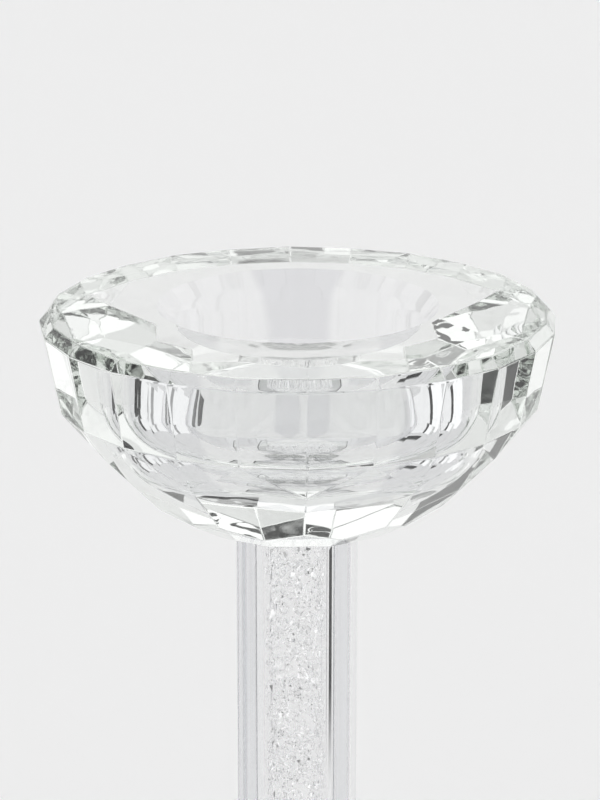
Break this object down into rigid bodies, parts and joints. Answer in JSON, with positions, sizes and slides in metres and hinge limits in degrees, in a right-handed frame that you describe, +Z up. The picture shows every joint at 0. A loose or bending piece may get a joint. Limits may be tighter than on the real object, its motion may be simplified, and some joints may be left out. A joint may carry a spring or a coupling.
{
  "type": "glass candlestick",
  "caption": "Faceted crystal-glass bowl with a round candle seat, on a square glass column filled with loose crystals and a faceted glass foot.",
  "frame": {"origin": "middle of the footprint, on the plane the four pads stand on", "axes": "+Z up along the column's axis to the candle seat; -Y is the side seen in the reference view"},
  "size_m": [0.0998, 0.0998, 0.22],
  "materials": {
    "cut_glass": "polished",
    "column_glass": "polished",
    "crystals": "polished",
    "clear_adhesive": "clear",
    "clear_pad": "clear satin"
  },
  "bodies": {
    "root": {"bowl": "cut_glass", "foot": "cut_glass", "column": "column_glass", "upper_bond": "clear_adhesive", "lower_bond": "clear_adhesive", "crystals_1": "crystals", "crystals_2": "crystals", "crystals_3": "crystals", "crystals_4": "crystals", "crystals_5": "crystals", "crystals_6": "crystals", "crystals_7": "crystals", "crystals_8": "crystals", "bumper_pad_1": "clear_pad", "bumper_pad_2": "clear_pad", "bumper_pad_3": "clear_pad", "bumper_pad_4": "clear_pad"}
  },
  "joints": []
}
